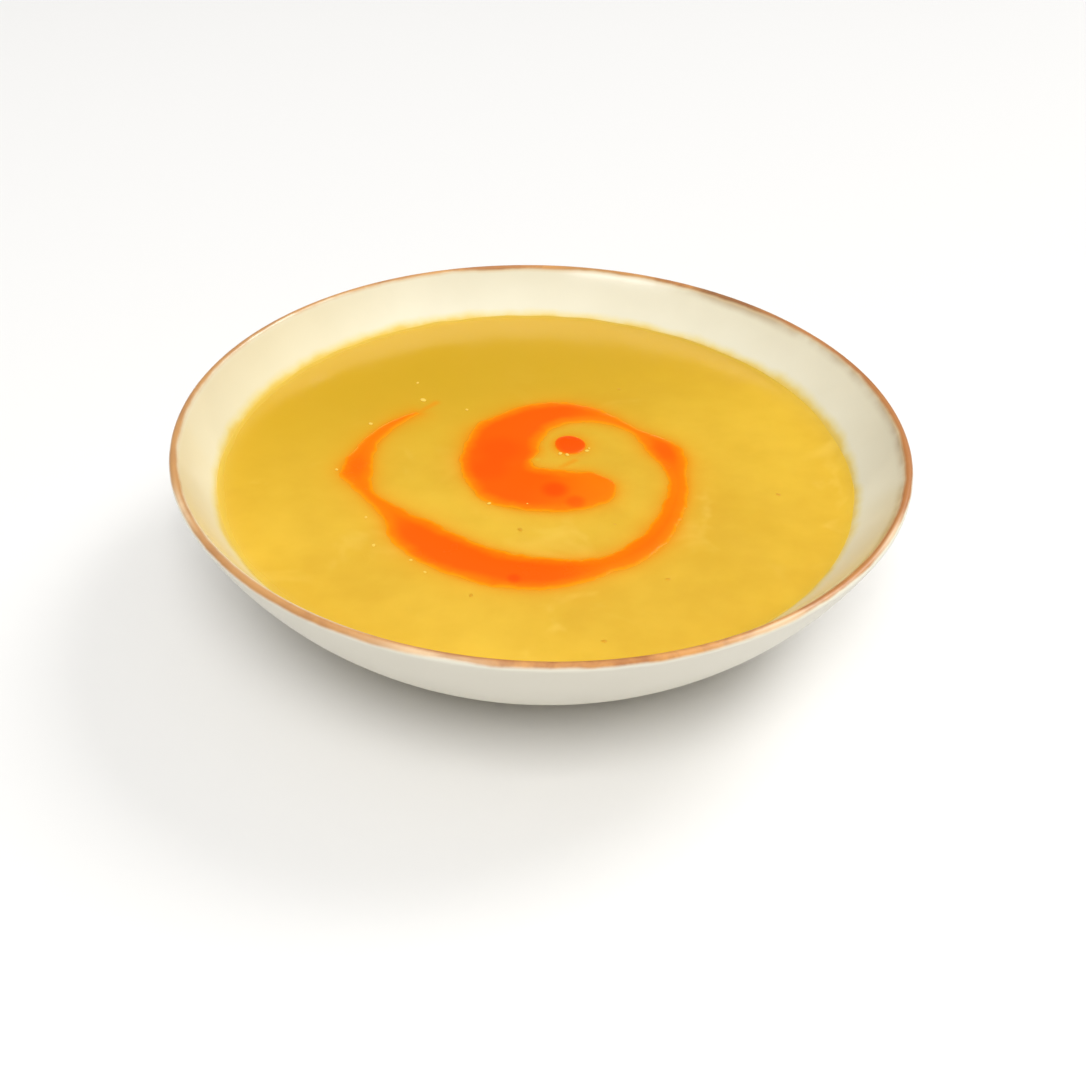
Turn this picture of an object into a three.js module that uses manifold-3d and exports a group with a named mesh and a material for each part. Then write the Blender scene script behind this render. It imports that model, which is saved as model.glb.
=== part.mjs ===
// Bowl of lentil soup: a wide, shallow stoneware bowl with a rounded lip and a low foot ring,
// filled with smooth yellow soup. A spiral of orange spiced oil and one round drop of the same
// oil lie in the surface of the soup.
//
// Units are millimetres and +Z is up. The origin is the middle of the circle that the foot ring
// stands on. -Y is the side that faces the person who eats.

import * as THREE from 'three';
import { mergeVertices } from 'three/addons/utils/BufferGeometryUtils.js';
import Module from 'manifold-3d';

// ---------------------------------------------------------------- driving dimensions: the bowl

const RIM_RADIUS = 100; // widest ring of the bowl
const RIM_HEIGHT = 49.3; // height of that ring above the table
const LIP_RADIUS = 1.3; // the lip is half round, and twice this thick
const TURN_STEPS = 96; // flats round every large turned surface
const WALL_FLAT = 8; // the longest flat along the walls' profiles
const LIP_FLAT = 0.7; // and over the lip

// The outside is two arcs that run into each other. Their angles are degrees below level.
const OUTER_ARC_RADIUS = 85;
const OUTER_ARC_START = 22; // the wall leans out this far where it meets the lip
const OUTER_ARC_END = 46;
const BELLY_ARC_RADIUS = 60;

// The inside is one arc from the lip to a flat floor.
const INNER_ARC_RADIUS = 82;
const INNER_ARC_START = 30.5;

// The inside was thrown a little off the middle of the outside, so one wall looks wider.
const INSIDE_DRIFT = -1.3;

const FOOT_OUTER_RADIUS = 49.5;
const FOOT_INNER_RADIUS = 42;
const FOOT_CHAMFER = 1.2;
const FOOT_TAPER = 0.5; // the foot ring's outer side leans in by this much
const UNDERSIDE_HEIGHT = 3.4; // hollow inside the foot ring
const UNDERSIDE_SAG = 0.2; // the hollow is this much lower at its edge

// ---------------------------------------------------------------- driving dimensions: the soup

const SOUP_BELOW_RIM = 12.6;
const SOUP_HEIGHT = RIM_HEIGHT - SOUP_BELOW_RIM;
const FIT_GAP = 0.35; // room between the pieces

// ---------------------------------------------------------------- driving dimensions: the oil

const DROP_CENTRE = new THREE.Vector2(8, 8); // the spiral winds round this drop
const DROP_RADIUS = 4.6;
const DROP_CROWN = 0.7; // how far the drop stands above the soup
const RIBBON_CROWN = 0.45;
const OIL_DEPTH = 1.1; // how far the oil sinks in
const FULL_HALF_WIDTH = 3; // the ribbon is thinner where it is narrower than this
const SLANT = 1.4; // how much more room the ribbon's slanting edges need

// Stations of the spiral, from its thin tail to its round end: the angle round the drop in
// degrees, and how far the ribbon's inner and outer edges lie from the drop's centre.
const RIBBON_STATIONS = [
  [162, 47.2, 48.8],
  [172, 51.1, 55.2],
  [184, 55.2, 60.8],
  [195, 56.9, 65.9],
  [206, 59.3, 63.2],
  [217, 56.2, 62.6],
  [230, 53.3, 67.0],
  [250, 53.6, 67.9],
  [266, 53.4, 65.4],
  [279, 52.6, 59.6],
  [287, 49.4, 57.0],
  [296, 45.2, 53.2],
  [314, 36.8, 43.9],
  [328, 32.4, 38.5],
  [340, 27.4, 35.0],
  [352, 22.6, 33.6],
  [364, 20.9, 30.8],
  [376, 20.0, 25.0],
  [388, 18.8, 21.9],
  [406, 16.4, 20.9],
  [430, 13.6, 22.0],
  [460, 11.0, 24.0],
  [500, 9.0, 26.0],
  [520, 8.5, 28.8],
  [545, 8.9, 30.6],
  [556, 9.0, 32.4],
  [564, 9.6, 33.3],
  [572, 11.4, 34.6],
  [579, 14.2, 35.4],
  [592, 15.0, 37.0],
  [612, 13.6, 34.8],
  [636, 13.4, 31.8],
  [653, 14.8, 28.8],
  [661, 18.6, 24.6],
  [663, 21.0, 22.4],
];
const STEPS_PER_STATION = 3;

// Corners of the ribbon's cross-section: across it from -1 to 1, and up from the soup's level
// as a share of the crown or of the depth.
const RIBBON_SECTION = [
  [-1, 0], [-0.72, 0.75], [0, 1], [0.72, 0.75], [1, 0], [0.7, -1], [-0.7, -1],
];

// Corners of the drop's half section: out from its middle as a share of its radius, and up.
const DROP_SECTION = [[0, -1], [0.75, -1], [1, 0], [0.8, 0.6], [0.45, 0.9], [0, 1]];
const DROP_STEPS = 28;

// ---------------------------------------------------------------- materials

const stoneware = new THREE.MeshStandardMaterial({
  name: 'cream stoneware glaze', color: 0xece2c8, roughness: 0.3, metalness: 0,
});
const soupFinish = new THREE.MeshStandardMaterial({
  name: 'yellow lentil soup', color: 0xf0c243, roughness: 0.35, metalness: 0,
});
const ribbonFinish = new THREE.MeshStandardMaterial({
  name: 'orange spiced oil', color: 0xff6a14, roughness: 0.2, metalness: 0,
});
const dropFinish = new THREE.MeshStandardMaterial({
  name: 'deep orange oil', color: 0xfa5214, roughness: 0.15, metalness: 0,
});

// ---------------------------------------------------------------- shared shape helpers

const radians = THREE.MathUtils.degToRad;

// Points of an arc in the profile plane. Angles are degrees, counted up from level, and the
// points lie no further apart than a flat's length.
function arc(centre, radius, from, to, flat) {
  const sweep = Math.abs(radians(to - from));
  const steps = Math.ceil((sweep * radius) / flat);
  const points = [];
  for (let i = 0; i <= steps; i += 1) {
    const angle = radians(from + ((to - from) * i) / steps);
    points.push(new THREE.Vector2(
      centre.x + radius * Math.cos(angle),
      centre.y + radius * Math.sin(angle),
    ));
  }
  return points;
}

// The centre of a larger arc that touches an arc's circle at an angle, on the same side.
function centreOfTouchingArc(centre, reach, angle) {
  return new THREE.Vector2(
    centre.x - reach * Math.cos(radians(angle)),
    centre.y - reach * Math.sin(radians(angle)),
  );
}

// Turns a profile of (radius, height) points round the upright axis.
function turned(profile, steps = TURN_STEPS) {
  return new THREE.LatheGeometry(profile, steps).rotateX(Math.PI / 2);
}

// How far the inside of the bowl is off centre at a height: nothing at the top of the lip,
// and the full drift from the level of the soup down.
function driftAt(height) {
  const lipTop = RIM_HEIGHT + LIP_RADIUS;
  const share = THREE.MathUtils.clamp((lipTop - height) / (lipTop - SOUP_HEIGHT), 0, 1);
  return INSIDE_DRIFT * share;
}

// ---------------------------------------------------------------- the profiles of the bowl

const lipCentre = new THREE.Vector2(RIM_RADIUS - LIP_RADIUS, RIM_HEIGHT);
const outerArcCentre = centreOfTouchingArc(
  lipCentre, OUTER_ARC_RADIUS - LIP_RADIUS, -OUTER_ARC_START,
);
const bellyArcCentre = centreOfTouchingArc(
  outerArcCentre, BELLY_ARC_RADIUS - OUTER_ARC_RADIUS, -OUTER_ARC_END,
);
const innerArcCentre = centreOfTouchingArc(
  lipCentre, INNER_ARC_RADIUS + LIP_RADIUS, -INNER_ARC_START,
);
const floorHeight = innerArcCentre.y - INNER_ARC_RADIUS;

// The foot ring, from the middle of the underside out to the foot's outer side.
function footProfile() {
  const footing = FOOT_OUTER_RADIUS - FOOT_TAPER;
  return [
    new THREE.Vector2(0, UNDERSIDE_HEIGHT),
    new THREE.Vector2(FOOT_INNER_RADIUS - FOOT_CHAMFER, UNDERSIDE_HEIGHT - UNDERSIDE_SAG),
    new THREE.Vector2(FOOT_INNER_RADIUS, FOOT_CHAMFER),
    new THREE.Vector2(FOOT_INNER_RADIUS + FOOT_CHAMFER, 0),
    new THREE.Vector2(footing - FOOT_CHAMFER, 0),
    new THREE.Vector2(footing, FOOT_CHAMFER),
  ];
}

function outsideProfile() {
  const footAngle = THREE.MathUtils.radToDeg(
    Math.acos((FOOT_OUTER_RADIUS - bellyArcCentre.x) / BELLY_ARC_RADIUS),
  );
  const belly = arc(bellyArcCentre, BELLY_ARC_RADIUS, -footAngle, -OUTER_ARC_END, WALL_FLAT);
  const wall = arc(
    outerArcCentre, OUTER_ARC_RADIUS, -OUTER_ARC_END, -OUTER_ARC_START, WALL_FLAT,
  );
  const lip = arc(lipCentre, LIP_RADIUS, -OUTER_ARC_START, 180 - INNER_ARC_START, LIP_FLAT);
  return [...belly, ...wall.slice(1), ...lip.slice(1)];
}

// The inside wall from the lip down to the edge of the flat floor.
function insideProfile(radius, fromAngle) {
  return arc(innerArcCentre, radius, -fromAngle, -90, WALL_FLAT);
}

// ---------------------------------------------------------------- the bowl

function bowlGeometry() {
  const outside = [...footProfile(), ...outsideProfile()];
  const inside = insideProfile(INNER_ARC_RADIUS, INNER_ARC_START).slice(1);
  const profile = [...outside, ...inside, new THREE.Vector2(0, floorHeight)];
  const geometry = turned(profile);
  const place = geometry.attributes.position;
  for (let i = 0; i < place.count; i += 1) {
    const isInside = i % profile.length >= outside.length;
    if (isInside) place.setX(i, place.getX(i) + driftAt(place.getZ(i)));
  }
  return geometry;
}

// ---------------------------------------------------------------- the oil

// A closed strip through rings of points that all have the same number of corners.
function loft(rings) {
  const corners = rings[0].length;
  const indices = [];
  for (let ring = 0; ring < rings.length - 1; ring += 1) {
    for (let corner = 0; corner < corners; corner += 1) {
      const here = ring * corners + corner;
      const beside = ring * corners + ((corner + 1) % corners);
      indices.push(here, beside, beside + corners);
      indices.push(here, beside + corners, here + corners);
    }
  }
  const last = (rings.length - 1) * corners;
  for (let corner = 1; corner < corners - 1; corner += 1) {
    indices.push(0, corner + 1, corner);
    indices.push(last, last + corner, last + corner + 1);
  }
  const geometry = new THREE.BufferGeometry().setFromPoints(rings.flat());
  geometry.setIndex(indices);
  return geometry;
}

// A corner's height above the soup's level. With room, the oil is thicker both ways.
function oilHeight(up, crown, room) {
  if (up === 0) return 0;
  return up > 0 ? up * crown + room : up * OIL_DEPTH - room;
}

// The ribbon of oil. With room it is the larger form that the soup is cut away by, and wider
// still, because the ribbon's edges run aslant to the rays that its stations are measured on.
function ribbonGeometry(room) {
  const stations = RIBBON_STATIONS.map((station) => new THREE.Vector3(...station));
  const path = new THREE.CatmullRomCurve3(stations, false, 'catmullrom', 0.5);
  const steps = (stations.length - 1) * STEPS_PER_STATION;
  const rings = path.getPoints(steps).map((station, index) => {
    const middle = (station.y + station.z) / 2;
    const halfWidth = (station.z - station.y) / 2;
    const end = (index === steps ? 1 : 0) - (index === 0 ? 1 : 0);
    const angle = radians(station.x) + (end * room) / middle;
    const thickness = Math.min(1, halfWidth / FULL_HALF_WIDTH);
    return RIBBON_SECTION.map(([across, up]) => {
      const distance = middle + across * (halfWidth + SLANT * room);
      return new THREE.Vector3(
        DROP_CENTRE.x + distance * Math.cos(angle),
        DROP_CENTRE.y + distance * Math.sin(angle),
        SOUP_HEIGHT + oilHeight(up * thickness, RIBBON_CROWN, room),
      );
    });
  });
  return loft(rings);
}

function dropGeometry(room) {
  const profile = DROP_SECTION.map(([out, up]) => new THREE.Vector2(
    out * (DROP_RADIUS + room),
    oilHeight(up, DROP_CROWN, room),
  ));
  return turned(profile, DROP_STEPS).translate(DROP_CENTRE.x, DROP_CENTRE.y, SOUP_HEIGHT);
}

// ---------------------------------------------------------------- the soup

const wasm = await Module();
wasm.setup();

// A closed geometry as a solid that can be cut, with its shared corners merged.
function solidOf(geometry) {
  const bare = geometry.clone();
  bare.deleteAttribute('normal');
  bare.deleteAttribute('uv');
  const merged = mergeVertices(bare, 1e-4);
  const triangles = [];
  for (let i = 0; i < merged.index.count; i += 3) {
    const [a, b, c] = merged.index.array.subarray(i, i + 3);
    if (a !== b && b !== c && c !== a) triangles.push(a, b, c);
  }
  return new wasm.Manifold(new wasm.Mesh({
    numProp: 3,
    vertProperties: merged.attributes.position.array,
    triVerts: new Uint32Array(triangles),
  }));
}

function geometryOf(solid) {
  const mesh = solid.getMesh();
  const geometry = new THREE.BufferGeometry();
  geometry.setAttribute('position', new THREE.BufferAttribute(mesh.vertProperties, 3));
  geometry.setIndex(new THREE.BufferAttribute(mesh.triVerts, 1));
  return geometry;
}

// The soup fills the bowl to its level, with the oil's bed cut out of its surface.
function soupGeometry() {
  const radius = INNER_ARC_RADIUS - FIT_GAP;
  const levelAngle = THREE.MathUtils.radToDeg(
    Math.asin((innerArcCentre.y - SOUP_HEIGHT) / radius),
  );
  const profile = [
    new THREE.Vector2(0, SOUP_HEIGHT),
    ...insideProfile(radius, levelAngle),
    new THREE.Vector2(0, floorHeight + FIT_GAP),
  ].reverse();
  const filled = turned(profile).translate(INSIDE_DRIFT, 0, 0);
  const bed = solidOf(ribbonGeometry(FIT_GAP)).add(solidOf(dropGeometry(FIT_GAP)));
  return geometryOf(solidOf(filled).subtract(bed));
}

// ---------------------------------------------------------------- the scene

function piece(name, geometry, material) {
  const mesh = new THREE.Mesh(geometry, material);
  mesh.name = name;
  return mesh;
}

const bowlOfSoup = new THREE.Group();
bowlOfSoup.add(
  piece('bowl', bowlGeometry(), stoneware),
  piece('soup', soupGeometry(), soupFinish),
  piece('oil_ribbon', ribbonGeometry(0), ribbonFinish),
  piece('oil_drop', dropGeometry(0), dropFinish),
);

export default bowlOfSoup;
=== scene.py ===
# %% [markdown]
# # A bowl of lentil soup
#
# A wide stoneware bowl, glazed cream with a bare brown lip, is filled with smooth yellow soup.
# A spiral of orange spiced oil and one round drop lie in the surface. The measured model gives
# the sizes and the places; this lesson makes the surfaces that the eye reads: glaze, puree and
# oil.

# %% Load the measured model
import math

import bmesh
import bpy
import numpy as np
from mathutils import Matrix, Vector, kdtree


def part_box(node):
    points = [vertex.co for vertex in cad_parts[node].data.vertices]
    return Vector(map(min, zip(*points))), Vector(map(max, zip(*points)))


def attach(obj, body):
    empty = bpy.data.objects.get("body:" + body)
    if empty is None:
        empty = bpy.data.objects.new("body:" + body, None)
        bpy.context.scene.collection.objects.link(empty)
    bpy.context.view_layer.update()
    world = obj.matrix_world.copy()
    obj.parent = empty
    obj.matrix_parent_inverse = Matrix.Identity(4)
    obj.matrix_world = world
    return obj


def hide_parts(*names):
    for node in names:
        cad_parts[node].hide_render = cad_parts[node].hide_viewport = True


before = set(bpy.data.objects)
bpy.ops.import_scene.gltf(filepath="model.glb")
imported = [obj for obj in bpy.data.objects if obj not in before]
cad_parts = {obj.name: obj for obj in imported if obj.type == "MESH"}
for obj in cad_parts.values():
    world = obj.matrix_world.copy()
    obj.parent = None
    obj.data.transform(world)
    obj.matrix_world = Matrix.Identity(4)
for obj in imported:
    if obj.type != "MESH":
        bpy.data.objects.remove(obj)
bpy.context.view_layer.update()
scene = bpy.context.scene
MM = 0.001
print("measured nodes:", sorted(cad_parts))

# %% [markdown]
# ## The camera
#
# The rim and the edge of the soup are two level circles. Their ellipses in a picture give the
# camera: how far away it is, how steeply it looks down and how much it is rolled. So the camera
# is placed by those numbers, in metres from the middle of the foot ring, and not by eye.

# %% Place the camera
PICTURE_SIZE = 1086
FOCAL_LENGTH = 1200
SENSOR_WIDTH = 36
LOOK_DOWN = 37.49
ROLL = 1.82
EYE = Vector((1.1, -284.1, 224.8)) * MM


def make_camera():
    data = bpy.data.cameras.new("camera")
    data.sensor_width = SENSOR_WIDTH
    data.lens = FOCAL_LENGTH / PICTURE_SIZE * SENSOR_WIDTH
    data.clip_start = 10 * MM
    camera = bpy.data.objects.new("camera", data)
    tilt = Matrix.Rotation(math.radians(90 - LOOK_DOWN), 4, "X")
    roll = Matrix.Rotation(math.radians(ROLL), 4, "Z")
    camera.matrix_world = Matrix.Translation(EYE) @ tilt @ roll
    scene.collection.objects.link(camera)
    return camera


scene.camera = make_camera()
print("lens", round(scene.camera.data.lens, 2), "mm at", [round(v, 4) for v in EYE])

# %% [markdown]
# ## The light
#
# Soft studio light comes from large panels. The key stands to the right and a little behind, so
# the left inside wall is bright and the right one is calm. A second panel above the camera opens
# the shadows. It isn't seen in reflections, because a glazed wall would mirror it as a square. A
# narrow strip is there only for its reflection, a thin light line under the lip. A pale world,
# brighter above than at the horizon, fills what is left. The plain view transform keeps yellow
# yellow: a filmic one would grey it.

# %% Place the lights
PANEL_DISTANCE = 6.0
STRIP_WIDTH = 0.13
scene.view_settings.view_transform = "Standard"


def softbox(name, azimuth, elevation, size, power):
    """A square panel that faces the bowl. Azimuth 0 is +X and 90 is +Y."""
    data = bpy.data.lights.new(name, "AREA")
    data.size = size
    data.energy = power
    panel = bpy.data.objects.new(name, data)
    turn, lift = math.radians(azimuth), math.radians(elevation)
    way = Vector((math.cos(turn) * math.cos(lift), math.sin(turn) * math.cos(lift), math.sin(lift)))
    panel.location = way * PANEL_DISTANCE
    panel.rotation_euler = way.to_track_quat("Z", "Y").to_euler()
    scene.collection.objects.link(panel)
    return panel


softbox("key_panel", azimuth=38, elevation=46, size=2.4, power=130.0)
front = softbox("front_panel", azimuth=-88, elevation=58, size=3.4, power=255.0)
front.visible_glossy = False
strip = softbox("strip_panel", azimuth=-117, elevation=38.2, size=3.4, power=62.0)
strip.data.shape = "RECTANGLE"
strip.data.size_y = STRIP_WIDTH
strip.visible_diffuse = False
print("three panels")

# %% [markdown]
# ## Helpers for node trees
#
# Shader trees and geometry trees are both sockets joined by links. These helpers take either a
# plain value or another node's output, so a tree reads like a sum: each call returns the output
# that the next one uses.

# %% Write the helpers


def feed(tree, socket, value):
    """Joins an output to a socket, or sets the socket to a plain value."""
    if isinstance(value, bpy.types.NodeSocket):
        tree.links.new(value, socket)
    elif value is not None:
        socket.default_value = value


def add(tree, kind, inputs=(), **settings):
    """A new node with its settings and its inputs, which are named or numbered."""
    node = tree.nodes.new(kind)
    node.location = (190 * len(tree.nodes), 0)
    for name, value in settings.items():
        setattr(node, name, value)
    for key, value in dict(inputs).items():
        feed(tree, node.inputs[key], value)
    return node


def calc(tree, operation, first, second=None):
    kind = "ShaderNodeMath"
    return add(tree, kind, {0: first, 1: second}, operation=operation).outputs[0]


def plus(tree, first, second):
    return calc(tree, "ADD", first, second)


def minus(tree, first, second):
    return calc(tree, "SUBTRACT", first, second)


def times(tree, first, second):
    return calc(tree, "MULTIPLY", first, second)


def fade(tree, value, start, end, low=0.0, high=1.0):
    """Smoothly from low at start to high at end."""
    inputs = {"Value": value, "From Min": start, "From Max": end, "To Min": low, "To Max": high}
    kind = "ShaderNodeMapRange"
    return add(tree, kind, inputs, interpolation_type="SMOOTHSTEP").outputs["Result"]


def mix_colour(tree, factor, first, second):
    node = add(tree, "ShaderNodeMix", data_type="RGBA")
    feed(tree, node.inputs[0], factor)
    feed(tree, node.inputs[6], first)
    feed(tree, node.inputs[7], second)
    return node.outputs[2]


def layered(tree, colour, *layers):
    """Lays colours over a first one, like coats of glaze. Each layer is a mask and a colour."""
    for mask, over in layers:
        colour = mix_colour(tree, mask, colour, over)
    return colour


def cloud(tree, coordinates, scale, detail=2.0, roughness=0.5, distortion=0.0):
    inputs = {"Vector": coordinates, "Scale": scale, "Detail": detail}
    node = add(tree, "ShaderNodeTexNoise", {**inputs, "Roughness": roughness})
    feed(tree, node.inputs["Distortion"], distortion)
    return node.outputs["Fac"]


def object_place(tree):
    """Where the shaded point is on its own piece, in metres."""
    return add(tree, "ShaderNodeTexCoord").outputs["Object"]


def number_on(tree, name):
    """A number that the piece's mesh carries under this name."""
    return add(tree, "ShaderNodeAttribute", attribute_name=name).outputs["Fac"]


def paint(red, green, blue):
    """A colour as it is seen on a screen, 0 to 255, turned into light values."""
    screen = np.array([red, green, blue]) / 255
    light = np.where(screen <= 0.04045, screen / 12.92, ((screen + 0.055) / 1.055) ** 2.4)
    return (*[float(v) for v in light], 1.0)


print("helpers ready")

# %% [markdown]
# ## The room
#
# The world is a gradient from a dim horizon to a bright ceiling, as in a room that is lit from
# above. A wet surface seen at a low angle mirrors the dim part, so its colour stays deep.

# %% Light the room
HORIZON_LIGHT, CEILING_LIGHT = 0.08, 0.76
DIM_BELOW, BRIGHT_ABOVE = 0.45, 0.95


def make_room():
    world = bpy.data.worlds.new("pale_room")
    world.use_nodes = True
    tree = world.node_tree
    way = add(tree, "ShaderNodeTexCoord").outputs["Generated"]
    upward = add(tree, "ShaderNodeSeparateXYZ", {0: way}).outputs["Z"]
    strength = fade(tree, upward, DIM_BELOW, BRIGHT_ABOVE, HORIZON_LIGHT, CEILING_LIGHT)
    room = tree.nodes["Background"].inputs
    room["Color"].default_value = (1, 1, 1, 1)
    feed(tree, room["Strength"], strength)
    return world


scene.world = make_room()
print("a room with a bright ceiling")

# %% [markdown]
# ## Two effects that several finishes share
#
# Glaze, soup and oil are all a little cloudy, and all of them have a skin that isn't quite flat.
# Each effect is a node group with named inputs, placed in every finish with its own values. The
# groups read Object coordinates, so a pattern stays where it is on the piece.

# %% Build the shared groups


def new_group(kind, name, inputs, output):
    """An empty node group: its tree, its inputs, its output and its inputs' identifiers."""
    tree = bpy.data.node_groups.new(name, kind)
    identifiers = {}
    for label, (socket_type, value) in inputs.items():
        socket = tree.interface.new_socket(label, in_out="INPUT", socket_type=socket_type)
        identifiers[label] = socket.identifier
        if value is not None:
            socket.default_value = value
    label, socket_type = output
    tree.interface.new_socket(label, in_out="OUTPUT", socket_type=socket_type)
    ins, outs = tree.nodes.new("NodeGroupInput"), tree.nodes.new("NodeGroupOutput")
    return tree, ins.outputs, outs.inputs[label], identifiers


def shader_group(name, inputs, output):
    """A shader group whose inputs and whose one output are all plain numbers."""
    number = "NodeSocketFloat"
    numbers = {label: (number, value) for label, value in inputs.items()}
    return new_group("ShaderNodeTree", name, numbers, (output, number))[:3]


def clouding_group():
    """A soft mask of broad clouds with finer ones on them."""
    tree, ins, out = shader_group("clouding", {"Broad": 20.0, "Fine": 120.0, "Contrast": 0.2}, "Mask")
    place = object_place(tree)
    broad = cloud(tree, place, ins["Broad"], detail=2.0)
    fine = cloud(tree, place, ins["Fine"], detail=3.0)
    both = plus(tree, times(tree, broad, 0.7), times(tree, fine, 0.3))
    low, high = minus(tree, 0.5, ins["Contrast"]), plus(tree, 0.5, ins["Contrast"])
    feed(tree, out, fade(tree, both, low, high))
    return tree


def skin_group():
    """A height that makes a wet skin lightly uneven, at two scales."""
    tree, ins, out = shader_group("uneven_skin", {"Wide": 60.0, "Close": 400.0, "Share": 0.3}, "Height")
    place = object_place(tree)
    wide = cloud(tree, place, ins["Wide"], detail=1.0)
    close = times(tree, cloud(tree, place, ins["Close"], detail=2.0), ins["Share"])
    feed(tree, out, plus(tree, wide, close))
    return tree


CLOUDING = clouding_group()
UNEVEN_SKIN = skin_group()


def use_group(tree, group, **values):
    node = add(tree, "ShaderNodeGroup", node_tree=group)
    for name, value in values.items():
        node.inputs[name].default_value = value
    return node.outputs[0]


def skin_normal(tree, depth, **values):
    """The normal of an uneven skin whose bumps are this deep, in metres."""
    height = use_group(tree, UNEVEN_SKIN, **values)
    inputs = {"Height": height, "Strength": 1.0, "Distance": depth}
    return add(tree, "ShaderNodeBump", inputs).outputs["Normal"]


def new_finish(name, **values):
    """A material and its Principled shader, with plain values set on the shader itself."""
    material = bpy.data.materials.new(name)
    material.use_nodes = True
    shader = material.node_tree.nodes["Principled BSDF"]
    for label, value in values.items():
        shader.inputs[label.replace("_", " ")].default_value = value
    return material, material.node_tree, shader


print("groups:", CLOUDING.name, UNEVEN_SKIN.name)

# %% [markdown]
# ## The bowl's profile
#
# A bowl thrown on a wheel is one profile turned round an axis. The profile is a few arcs: two
# for the outside, a half circle over the lip and one for the inside. It is worked out in
# millimetres from the same named sizes as the measured model, with the outer sizes read from it.

# %% Draw the profile
LIP_RADIUS = 1.3
OUTER_ARC_RADIUS, OUTER_ARC_START, OUTER_ARC_END = 85.0, 22.0, 46.0
BELLY_ARC_RADIUS = 60.0
INNER_ARC_RADIUS, INNER_ARC_START = 82.0, 30.5
FOOT_OUTER, FOOT_INNER = 49.5, 42.0
FOOT_LEAN, FOOT_OUTER_EDGE, FOOT_INNER_EDGE = 0.5, 1.2, 0.8
UNDERSIDE, UNDERSIDE_SAG, HOLLOW_ROUNDING = 3.4, 0.2, 1.5

rim_radius = round(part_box("bowl")[1][0] / MM, 1)
rim_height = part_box("bowl")[1][2] / MM - LIP_RADIUS
soup_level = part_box("soup")[1][2] / MM
inside_drift = (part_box("soup")[0][0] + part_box("soup")[1][0]) / 2 / MM


def arc(centre, radius, start, end, spacing):
    """Points of an arc. Angles are degrees, counted up from level."""
    sweep = abs(math.radians(end - start))
    count = max(2, math.ceil(sweep * radius / spacing))
    turn = np.radians(np.linspace(start, end, count + 1))
    return np.column_stack((centre[0] + radius * np.cos(turn), centre[1] + radius * np.sin(turn)))


def touching(centre, reach, angle):
    """The centre of an arc that touches a circle at an angle, on the same side."""
    turn = math.radians(angle)
    return np.array([centre[0] - reach * math.cos(turn), centre[1] - reach * math.sin(turn)])


lip_centre = np.array([rim_radius - LIP_RADIUS, rim_height])
outer_centre = touching(lip_centre, OUTER_ARC_RADIUS - LIP_RADIUS, -OUTER_ARC_START)
belly_centre = touching(outer_centre, BELLY_ARC_RADIUS - OUTER_ARC_RADIUS, -OUTER_ARC_END)
inner_centre = touching(lip_centre, INNER_ARC_RADIUS + LIP_RADIUS, -INNER_ARC_START)
floor_height = inner_centre[1] - INNER_ARC_RADIUS


def foot_points():
    """The hollow underside, the flat ring that the bowl stands on and its outer side."""
    corner = (FOOT_INNER - HOLLOW_ROUNDING, UNDERSIDE - UNDERSIDE_SAG - HOLLOW_ROUNDING)
    hollow = arc(corner, HOLLOW_ROUNDING, 90, 0, 0.3)
    inner = arc((FOOT_INNER + FOOT_INNER_EDGE, FOOT_INNER_EDGE), FOOT_INNER_EDGE, 180, 270, 0.2)
    ring = FOOT_OUTER - FOOT_LEAN
    outer = arc((ring - FOOT_OUTER_EDGE, FOOT_OUTER_EDGE), FOOT_OUTER_EDGE, -90, 0, 0.2)
    middle = np.array([[0.0, UNDERSIDE], [12.0, UNDERSIDE - 0.03], [28.0, UNDERSIDE - 0.1]])
    return np.vstack((middle, hollow, inner, outer))


def bowl_profile():
    """The whole profile, and which of its points is the top of the lip."""
    foot = foot_points()
    foot_angle = math.degrees(math.acos((FOOT_OUTER - belly_centre[0]) / BELLY_ARC_RADIUS))
    belly = arc(belly_centre, BELLY_ARC_RADIUS, -foot_angle, -OUTER_ARC_END, 1.2)
    wall = arc(outer_centre, OUTER_ARC_RADIUS, -OUTER_ARC_END, -OUTER_ARC_START, 1.0)
    lip = arc(lip_centre, LIP_RADIUS, -OUTER_ARC_START, 180 - INNER_ARC_START, 0.16)
    inside = arc(inner_centre, INNER_ARC_RADIUS, -INNER_ARC_START, -90, 1.0)
    floor = np.array([[inner_centre[0] * 0.5, floor_height], [0.0, floor_height]])
    points = np.vstack((foot, belly[1:], wall[1:], lip[1:], inside[1:], floor))
    return points, int(np.argmax(points[:, 1]))


profile, lip_index = bowl_profile()
print(len(profile), "profile points, floor at", round(floor_height, 2), "mm")

# %% [markdown]
# ## Turn the bowl
#
# Blender's Screw modifier could turn the profile. Writing the rings by hand is as short, and it
# lets each point carry numbers for the glaze: how far it is from the top of the lip along the
# wall, how far it is inside the brown band, and how much painted highlight and pale glaze lie on
# the lip there. The inside was thrown slightly off the middle of the outside, and the rim isn't a
# perfect circle, so the rings are nudged by a fraction of a millimetre.

# %% Write the tools for turned shapes


def new_mesh(name, vertices, edges, faces, numbers):
    """A mesh from millimetres, with numbers kept on its vertices."""
    mesh = bpy.data.meshes.new(name)
    mesh.from_pydata((np.asarray(vertices) * MM).tolist(), edges, faces)
    for label, values in numbers.items():
        mesh.attributes.new(label, "FLOAT", "POINT").data.foreach_set("value", values)
    return mesh


def mesh_object(name, vertices, faces, numbers):
    """A smooth object from vertices and faces."""
    mesh = new_mesh(name, vertices, [], faces, numbers)
    mesh.shade_smooth()
    thing = bpy.data.objects.new(name, mesh)
    scene.collection.objects.link(thing)
    return thing


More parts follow.
